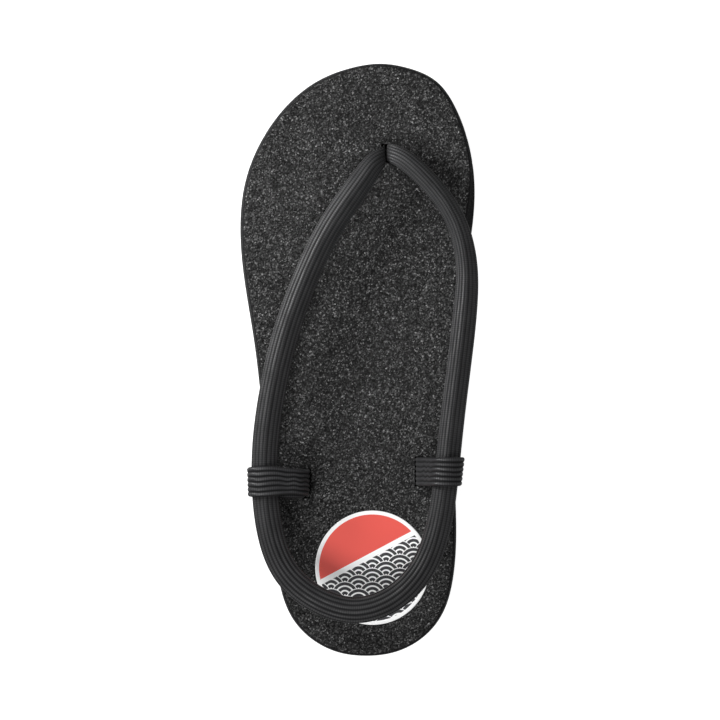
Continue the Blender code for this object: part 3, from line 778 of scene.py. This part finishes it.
class SandalCordSettings(bpy.types.PropertyGroup):
    """Ribs and yarn of the cord"""

    ribs: bpy.props.IntProperty(name="Ribs", description="Ribs round the cord", min=6, max=32, default=16)
    rib_height: bpy.props.FloatProperty(
        name="Rib Height", description="Depth of the furrows", unit="LENGTH", default=0.24 * MM)
    heel_ribs: bpy.props.FloatProperty(
        name="Heel Ribs", description="Extra depth of the furrows at the heel", min=0, max=1, default=0.8)
    row_pitch: bpy.props.FloatProperty(
        name="Row Pitch", description="Length of one row of stitches", unit="LENGTH", default=0.95 * MM)
    furrow: bpy.props.FloatProperty(
        name="Furrow Width", description="Power of the rib's arch: more opens the furrows",
        min=0.2, max=3, default=0.6)
    thread: bpy.props.FloatVectorProperty(
        name="Thread", description="Colour of the yarn", subtype="COLOR", size=3,
        min=0, max=1, default=linear("#2d2d2e"))
    # Painted shade: the dark colour painted into the furrows between the ribs and the stitch rows.
    shadow: bpy.props.FloatVectorProperty(
        name="Furrow", description="Colour between the ribs", subtype="COLOR", size=3,
        min=0, max=1, default=linear("#161617"))
    roughness: bpy.props.FloatProperty(
        name="Roughness", description="Roughness of the yarn", subtype="FACTOR", min=0, max=1, default=0.4)
    gloss: bpy.props.FloatProperty(
        name="Gloss", description="Specular level of the yarn", subtype="FACTOR", min=0, max=1, default=0.27)


class SandalTapeSettings(bpy.types.PropertyGroup):
    """Ribs and yarn of the keepers"""

    ribs: bpy.props.IntProperty(name="Ribs", description="Ribs across the tape", min=3, max=12, default=6)
    rib_height: bpy.props.FloatProperty(
        name="Rib Height", description="Depth of the furrows", unit="LENGTH", default=0.42 * MM)
    row_pitch: bpy.props.FloatProperty(
        name="Row Pitch", description="Length of one row of stitches", unit="LENGTH", default=0.95 * MM)
    sway: bpy.props.FloatProperty(
        name="Sway", description="How far the ribs wander to the side", unit="LENGTH", default=0.25 * MM)
    furrow: bpy.props.FloatProperty(
        name="Furrow Width", description="Power of the rib's arch: more opens the furrows",
        min=0.2, max=3, default=2.0)
    thread: bpy.props.FloatVectorProperty(
        name="Thread", description="Colour of the yarn", subtype="COLOR", size=3,
        min=0, max=1, default=linear("#2b2b2d"))
    # Painted shade: the dark colour painted into the furrows between the ribs and the stitch rows.
    shadow: bpy.props.FloatVectorProperty(
        name="Furrow", description="Colour between the ribs", subtype="COLOR", size=3,
        min=0, max=1, default=linear("#050506"))
    roughness: bpy.props.FloatProperty(
        name="Roughness", description="Roughness of the yarn", subtype="FACTOR", min=0, max=1, default=0.4)
    gloss: bpy.props.FloatProperty(
        name="Gloss", description="Specular level of the yarn", subtype="FACTOR", min=0, max=1, default=0.45)


class SandalBadgeSettings(bpy.types.PropertyGroup):
    """Colours and sizes of the print"""

    white: bpy.props.FloatVectorProperty(
        name="White", description="Rim, bar and waves", subtype="COLOR", size=3,
        min=0, max=1, default=linear("#fafafa"))
    red: bpy.props.FloatVectorProperty(
        name="Red", description="The red part", subtype="COLOR", size=3,
        min=0, max=1, default=linear("#e2554b"))
    charcoal: bpy.props.FloatVectorProperty(
        name="Charcoal", description="The dark part", subtype="COLOR", size=3,
        min=0, max=1, default=linear("#323235"))
    rim: bpy.props.FloatProperty(
        name="Rim", description="Width of the white rim", unit="LENGTH", default=1.7 * MM)
    bar: bpy.props.FloatProperty(
        name="Bar", description="Width of the white bar", unit="LENGTH", default=2.2 * MM)
    bar_offset: bpy.props.FloatProperty(
        name="Bar Offset", description="Distance of the bar from the middle", unit="LENGTH", default=5.0 * MM)
    slant: bpy.props.FloatProperty(
        name="Slant", description="Slope of the bar", subtype="ANGLE", default=math.radians(28))
    wave: bpy.props.FloatProperty(
        name="Wave", description="Radius of a wave", unit="LENGTH", default=6.0 * MM)
    wave_line: bpy.props.FloatProperty(
        name="Wave Line", description="Width of a wave's lines", unit="LENGTH", default=0.7 * MM)


class SandalStageSettings(bpy.types.PropertyGroup):
    """Floor, lights and camera"""

    floor: bpy.props.FloatVectorProperty(
        name="Floor", description="Colour of the floor", subtype="COLOR", size=3,
        min=0, max=1, default=linear("#a8a8a8"))
    glow: bpy.props.FloatProperty(
        name="Glow", description="How far the floor is lifted towards white", min=0, default=0.93)
    key: bpy.props.FloatProperty(name="Key", description="Power of the low side light in watts", default=0.42)
    key_place: bpy.props.FloatVectorProperty(
        name="Key Place", description="Middle of the side light", subtype="TRANSLATION", size=3,
        default=(-0.35, 0.215, 0.165))
    key_size: bpy.props.FloatProperty(
        name="Key Size", description="Side of the side light", unit="LENGTH", default=0.13)
    key_spread: bpy.props.FloatProperty(
        name="Key Spread", description="Angle of the grid on the side light", subtype="ANGLE",
        default=math.radians(76))
    toe_fill: bpy.props.FloatProperty(
        name="Toe Fill", description="Power of the soft light beyond the toe in watts", default=4.2)
    heel_fill: bpy.props.FloatProperty(
        name="Heel Fill", description="Power of the soft light behind the heel in watts", default=7.8)
    fill_place: bpy.props.FloatVectorProperty(
        name="Fill Place", description="Middle of the toe fill, and of the heel fill mirrored in Y",
        subtype="TRANSLATION", size=3, default=(-0.38, 0.62, 0.97))
    fill_size: bpy.props.FloatProperty(
        name="Fill Size", description="Side of a fill light", unit="LENGTH", default=0.4)
    aim: bpy.props.FloatVectorProperty(
        name="Aim", description="Point that the side light faces", subtype="TRANSLATION", size=3,
        default=(-0.01, 0.07, 0.02))
    sky: bpy.props.FloatProperty(name="Sky", description="Strength of the even light", default=0.33)
    camera_height: bpy.props.FloatProperty(
        name="Camera Height", description="Height of the camera over the footbed", unit="LENGTH", default=3.2)
    view_height: bpy.props.FloatProperty(
        name="View Height", description="Length that fills the picture", unit="LENGTH", default=0.315)


# ---- pieces


def dress(obj, made, node):
    """Gives the piece its material, puts it on the one body and lets it stand for its solid."""
    obj.data.materials.clear()
    obj.data.materials.append(made)
    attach(obj, "root")
    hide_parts(node)


class SandalFoamSole(bpy.types.Operator):
    """Builds the moulded foam sole with its slits, badge seat and tread"""

    bl_idname = "sandal.foam_sole"
    bl_label = "Foam Sole"

    def execute(self, context):
        rings = sole_grid()
        count, sides = rings.shape[:2]
        faces = band_faces(count, sides, False).tolist()
        faces += ladder(0, sides) + [face[::-1] for face in ladder((count - 1) * sides, sides)]
        sole = mesh_object("foam_sole", rings.reshape(-1, 3), faces)
        level = float(footbed(BADGE_MIDDLE[1]))
        seat = disc_cutter(BADGE_RADIUS + CLEARANCE, BADGE_MIDDLE, level - SEAT_DEPTH, level + SLIT_OVER)
        slit_turn = math.atan2(SLIT_ALONG[1], SLIT_ALONG[0])
        cutters = [tread_cutter(), seat]
        cutters.append(sunk_box("toe_slit", SLIT, (SLIT_LENGTH, SLIT_WIDTH), SLIT_DEPTH, slit_turn))
        for name, x, y, _, turn, _ in KEEPERS:
            size = (2 * TAPE_THICKNESS + 4 * CLEARANCE, TAPE_WIDTH + 2 * CLEARANCE)
            cutters.append(sunk_box(name + "_slit", (x, y), size, TAPE_SLIT_DEPTH, math.radians(turn)))
        carve(sole, cutters)
        sole.data.shade_smooth()
        sole.data.set_sharp_from_angle(angle=FOAM_CREASE)
        dress(sole, foam_material(context.scene.sandal_sole), "sole")
        return {"FINISHED"}


class SandalCord(bpy.types.Operator):
    """Builds the ribbed elastic cord"""

    bl_idname = "sandal.cord"
    bl_label = "Ribbed Cord"

    def execute(self, context):
        settings = context.scene.sandal_cord
        stations = strap_stations(CORD_STEP)
        run = arc_length(np.vstack([stations, stations[:1]]))
        sides = settings.ribs * CORD_RIB_STEPS
        section = cord_section(stations, run_along(stations), sides) * stations[:, None, 3:5]
        # Each rib is the arch of a sine, sunk along the section's normal at both its sides.
        lobe = np.abs(np.sin(np.arange(sides) * math.pi / CORD_RIB_STEPS)) ** RIB_ARCH - 1
        bent = smooth((stations[:, 1] - HEEL_BEND[0]) / (HEEL_BEND[1] - HEEL_BEND[0]))
        height = settings.rib_height * (1 + settings.heel_ribs * bent)
        height = np.minimum(height, RIB_LIMIT * stations[:, 4])[:, None]
        onward = np.roll(section, -1, axis=1) - np.roll(section, 1, axis=1)
        onward /= np.linalg.norm(onward, axis=2)[:, :, None]
        section += np.stack([onward[:, :, 1], -onward[:, :, 0]], axis=-1) * (height * lobe)[:, :, None]
        points = ring_points(stations, strap_wide(stations), section)
        cord = ring_object("ribbed_cord", points, settings.ribs, run, settings.row_pitch)
        made = woven_material("polyester_elastic_cord", settings)
        dress(cord, made, "strap")
        return {"FINISHED"}


class SandalKeepers(bpy.types.Operator):
    """Builds the two ribbed tape keepers"""

    bl_idname = "sandal.keepers"
    bl_label = "Tape Keepers"

    def execute(self, context):
        settings = context.scene.sandal_tape
        made = woven_material("polyester_elastic_tape", settings)
        for node, x, y, way, turn, rows in KEEPERS:
            tape = self.keeper(settings, node + "_tape", x, y, way, math.radians(turn), rows)
            dress(tape, made, node)
        return {"FINISHED"}

    def keeper(self, settings, name, x, y, way, turn, rows):
        """A tape carried round its path: both faces have ribs, and both edges are rounded."""
        rows = np.array(rows) * MM
        out = way * np.array([math.cos(turn), math.sin(turn), 0.0])
        slit_along = np.array([-math.sin(turn), math.cos(turn), 0.0])
        path = rows[:, :1] * out + rows[:, 1:2] * (0, 0, 1)
        stations = closed_spline(np.column_stack([path, rows[:, 2:]]), 3, by_length(TAPE_STEP))
        cord = strap_stations(CORD_COARSE)
        place = np.array([x, y]) + 0.5 * out[:2] * rows[:, 0].max()
        nearest = np.argmin(np.linalg.norm(cord[:, :2] - place, axis=1))
        over = smooth(stations[:, 2:3] / TAPE_TURN_RISE)
        wide = (1 - over) * slit_along + over * run_along(cord)[nearest] * way
        slide, width = stations[:, 3:4], stations[:, 4:5]
        stations[:, :3] += wide * slide + (x, y, float(footbed(y)))
        run = arc_length(np.vstack([stations, stations[:1]]))
        sides = settings.ribs * 2 * TAPE_RIB_STEPS
        turns = np.arange(sides) * 2 * math.pi / sides
        # A stadium section: the flat faces are even steps across, and each rib is the arch of a sine.
        share = turns / math.pi
        face = np.where(share < 1, 1 - 2 * share, 2 * share - 3)
        edge = np.clip((1 - np.abs(face)) / TAPE_EDGE, 0, 1)
        lobe = np.abs(np.sin(share * settings.ribs * math.pi)) ** RIB_ARCH
        thick = 0.5 * TAPE_THICKNESS - settings.rib_height * (1 - lobe)
        thick = thick * np.sqrt(1 - (1 - edge) ** 2) * np.where(share < 1, 1, -1)
        gone = run[:-1, None]
        sway = settings.sway * np.sin(gone / SWAY_SHORT + SWAY_PUSH * np.sin(gone / SWAY_LONG))
        across = 0.5 * width * face + sway * (1 - np.abs(face)) * over
        section = np.stack([across, np.broadcast_to(thick, across.shape)], axis=-1)
        points = ring_points(stations, wide, section)
        return ring_object(name, points, 2 * settings.ribs, run, settings.row_pitch)


class SandalBadge(bpy.types.Operator):
    """Builds the printed heel badge"""

    bl_idname = "sandal.badge"
    bl_label = "Heel Badge"

    def execute(self, context):
        low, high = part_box("heel_badge")
        sides = BADGE_SIDES
        turns = np.arange(sides) * 2 * math.pi / sides
        # A disc turned from a profile of radius and height, its upper edge rounded over a quarter circle.
        shoulder, level = BADGE_RADIUS - BADGE_BEND, high.z - BADGE_BEND
        arc = np.linspace(math.pi / 2, 0, BADGE_BEND_RINGS)
        radius = np.concatenate([np.linspace(BADGE_INNER, shoulder, BADGE_RINGS, endpoint=False),
                                 shoulder + BADGE_BEND * np.cos(arc), [BADGE_RADIUS, BADGE_INNER]])
        height = np.concatenate([np.full(BADGE_RINGS, high.z), level + BADGE_BEND * np.sin(arc),
                                 [low.z, low.z]])
        ring = np.stack([np.cos(turns), np.sin(turns)], axis=-1)
        flat = radius[:, None, None] * ring + np.array(BADGE_MIDDLE)
        points = np.concatenate([flat, np.broadcast_to(height[:, None, None], (*flat.shape[:2], 1))], axis=-1)
        count = len(radius)
        faces = band_faces(count, sides, False).tolist()
        faces += [list(range(sides))[::-1], list(range((count - 1) * sides, count * sides))]
        badge = mesh_object("badge_film", points.reshape(-1, 3), faces)
        badge.data.set_sharp_from_angle(angle=BADGE_CREASE)
        dress(badge, badge_material(context.scene.sandal_badge), "heel_badge")
        return {"FINISHED"}


class SandalStage(bpy.types.Operator):
    """Sets the floor, the lights and the camera"""

    bl_idname = "sandal.stage"
    bl_label = "Studio Stage"

    def execute(self, context):
        scene = context.scene
        settings = scene.sandal_stage
        corners = [(FLOOR_REACH * x, FLOOR_REACH * y, 0) for x, y in ((-1, -1), (1, -1), (1, 1), (-1, 1))]
        mesh = bpy.data.meshes.new("floor")
        mesh.from_pydata(corners, [], [(0, 1, 2, 3)])
        floor = bpy.data.objects.new("floor", mesh)
        scene.collection.objects.link(floor)
        floor.data.materials.append(floor_material(settings))
        self.light("key", settings.key_place, settings.aim, settings.key_size, settings.key_spread,
                   settings.key)
        x, y, z = settings.fill_place
        self.light("toe_fill", (x, y, z), (0, 0, 0), settings.fill_size, math.pi, settings.toe_fill)
        self.light("heel_fill", (x, -y, z), (0, 0, 0), settings.fill_size, math.pi, settings.heel_fill)
        world = bpy.data.worlds.new("studio")
        world.use_nodes = True
        sky = world.node_tree.nodes["Background"].inputs
        sky["Strength"].default_value = settings.sky
        sky["Color"].default_value = (1, 1, 1, 1)
        scene.world = world
        scene.view_settings.view_transform = "Standard"
        data = bpy.data.cameras.new("above")
        data.sensor_width = SENSOR
        data.lens = SENSOR * settings.camera_height / settings.view_height
        data.clip_end = FARTHEST
        camera = bpy.data.objects.new("above", data)
        scene.collection.objects.link(camera)
        camera.location = (0.0, 0.0, settings.camera_height + float(footbed(0.0)))
        scene.camera = camera
        return {"FINISHED"}

    def light(self, name, place, aim, size, spread, power):
        """A square soft box with a grid, at place and facing aim."""
        data = bpy.data.lights.new(name, "AREA")
        data.energy = power
        data.size = size
        data.spread = spread
        lamp = bpy.data.objects.new(name, data)
        bpy.context.scene.collection.objects.link(lamp)
        lamp.location = place
        lamp.rotation_euler = (lamp.location - mathutils.Vector(aim)).to_track_quat("Z", "Y").to_euler()


class SandalPanel(bpy.types.Panel):
    """Lists the sandal's pieces and their settings"""

    bl_idname = "SANDAL_PT_pieces"
    bl_label = "Waraji Sandal"
    bl_space_type = "VIEW_3D"
    bl_region_type = "UI"
    bl_category = "Sandal"

    def draw(self, context):
        for operator, name, group in PIECES:
            box = self.layout.box()
            for setting in group.__annotations__:
                box.prop(getattr(context.scene, name), setting)
            box.operator(operator.bl_idname)


PIECES = (
    # operator, the scene's name for its settings, their group
    (SandalFoamSole, "sandal_sole", SandalSoleSettings),
    (SandalCord, "sandal_cord", SandalCordSettings),
    (SandalKeepers, "sandal_tape", SandalTapeSettings),
    (SandalBadge, "sandal_badge", SandalBadgeSettings),
    (SandalStage, "sandal_stage", SandalStageSettings),
)


def register():
    """Registers the classes and gives every scene their settings."""
    for operator, name, group in PIECES:
        bpy.utils.register_class(group)
        bpy.utils.register_class(operator)
        setattr(bpy.types.Scene, name, bpy.props.PointerProperty(type=group))
    bpy.utils.register_class(SandalPanel)


def unregister():
    """Takes them away again."""
    bpy.utils.unregister_class(SandalPanel)
    for operator, name, group in reversed(PIECES):
        delattr(bpy.types.Scene, name)
        bpy.utils.unregister_class(operator)
        bpy.utils.unregister_class(group)


def main():
    """Builds every piece and the stage."""
    register()
    bpy.ops.sandal.foam_sole()
    bpy.ops.sandal.cord()
    bpy.ops.sandal.keepers()
    bpy.ops.sandal.badge()
    bpy.ops.sandal.stage()


if __name__ == "__main__":
    main()
